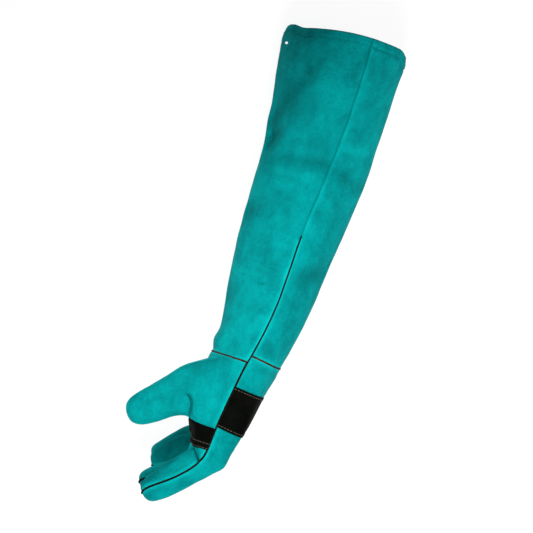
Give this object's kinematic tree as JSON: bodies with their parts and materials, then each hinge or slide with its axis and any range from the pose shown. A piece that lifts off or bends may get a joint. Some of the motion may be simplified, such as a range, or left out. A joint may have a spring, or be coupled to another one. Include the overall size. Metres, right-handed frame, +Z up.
{
  "type": "animal handling glove",
  "caption": "Long split-leather gauntlet glove for the left hand, lying on its little-finger side, with curled fingers, black knuckle and palm patches and an open cuff.",
  "frame": {"origin": "on the surface that the glove lies on, under the middle of its bounding box", "axes": "+Y along the sleeve towards the open cuff, +Z up through the thumb side, +X towards the back of the hand"},
  "size_m": [0.1848, 0.5718, 0.1132],
  "materials": {
    "green_leather": "napped suede",
    "black_leather": "matt grain",
    "green_welt": "napped suede",
    "black_welt": "matt cut edge",
    "brown_welt": "matt cut edge"
  },
  "bodies": {
    "root": {"sleeve_front": "green_leather", "sleeve_back": "green_leather", "palm_panel": "green_leather", "hand_back": "green_leather", "thumb_inner": "green_leather", "index_front": "green_leather", "middle_front": "green_leather", "ring_front": "green_leather", "little_front": "green_leather", "palm_patch": "black_leather", "knuckle_patch": "black_leather", "thumb_welt": "green_welt", "upper_arm_welt": "black_welt", "lower_arm_welt": "black_welt", "index_welt": "black_welt", "middle_welt": "black_welt", "ring_welt": "black_welt", "little_welt": "black_welt", "wrist_welt": "brown_welt"}
  },
  "joints": []
}
